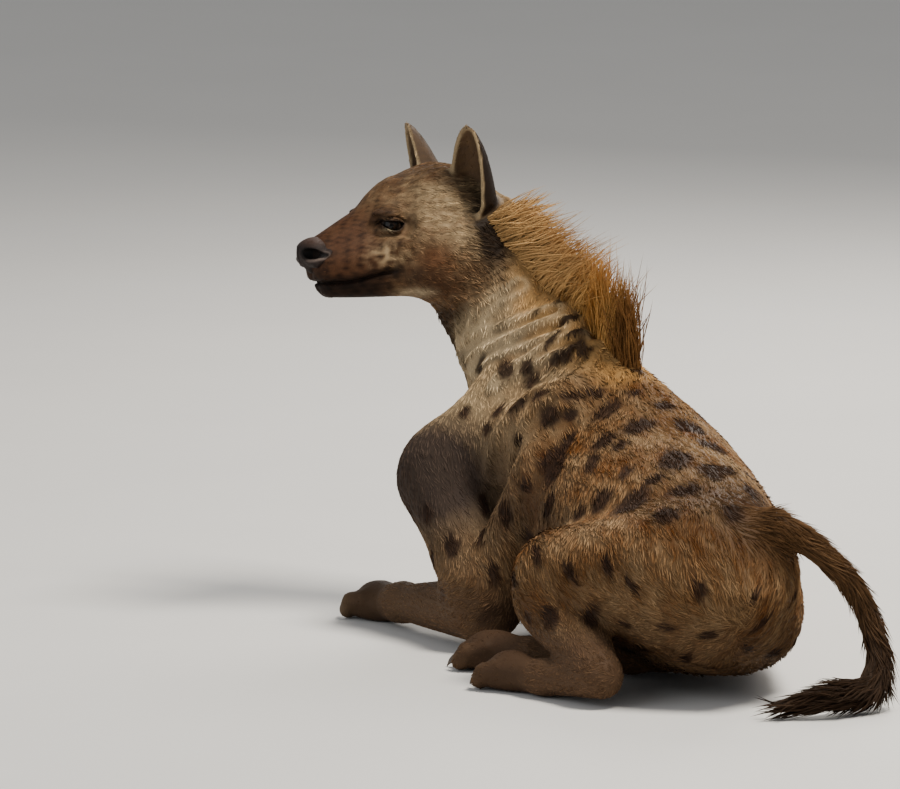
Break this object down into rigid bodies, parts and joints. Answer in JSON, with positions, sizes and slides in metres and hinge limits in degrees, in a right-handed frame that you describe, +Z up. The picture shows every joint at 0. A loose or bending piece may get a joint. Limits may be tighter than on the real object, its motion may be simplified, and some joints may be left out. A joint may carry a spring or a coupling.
{
  "type": "spotted hyena model",
  "caption": "Life-size spotted hyena lying on its chest and right hip, head raised and turned to its left, ears up, short mane, tail laid round behind; a still display animal.",
  "frame": {"origin": "On the floor in the middle of the flat under the animal's sternum.", "axes": "+X forward along the trunk from the tail to the breast, +Y to the animal's left, +Z up from the floor."},
  "size_m": [1.1693, 0.5622, 0.6819],
  "materials": {
    "coat": "short tawny fur with dark brown spots",
    "dark_coat": "short dark brown fur",
    "mane_hair": "long golden hair with dark tips",
    "ear_skin": "thin skin with very short hair",
    "nose_leather": "moist black nose leather",
    "eye": "dark glossy eye",
    "claw_horn": "blunt dark horn claws"
  },
  "bodies": {
    "root": {"head": "coat", "lower_jaw": "dark_coat", "nose_pad": "nose_leather", "eye_left": "eye", "eye_right": "eye", "ear_left": "ear_skin", "ear_right": "ear_skin", "mane": "mane_hair", "neck": "coat", "chest": "coat", "belly": "coat", "rump": "coat", "tail": "dark_coat", "left_upper_arm": "coat", "left_forearm": "dark_coat", "right_upper_arm": "coat", "right_forearm": "dark_coat", "left_thigh": "coat", "left_shank": "coat", "left_hock": "dark_coat", "right_thigh": "coat", "left_fore_paw": "dark_coat", "right_fore_paw": "dark_coat", "left_hind_paw": "dark_coat", "right_hind_paw": "dark_coat", "left_fore_paw_claw_1": "claw_horn", "left_fore_paw_claw_2": "claw_horn", "left_fore_paw_claw_3": "claw_horn", "left_fore_paw_claw_4": "claw_horn", "right_fore_paw_claw_1": "claw_horn", "right_fore_paw_claw_2": "claw_horn", "right_fore_paw_claw_3": "claw_horn", "right_fore_paw_claw_4": "claw_horn", "left_hind_paw_claw_1": "claw_horn", "left_hind_paw_claw_2": "claw_horn", "left_hind_paw_claw_3": "claw_horn", "left_hind_paw_claw_4": "claw_horn", "right_hind_paw_claw_1": "claw_horn", "right_hind_paw_claw_2": "claw_horn", "right_hind_paw_claw_3": "claw_horn", "right_hind_paw_claw_4": "claw_horn"}
  },
  "joints": []
}
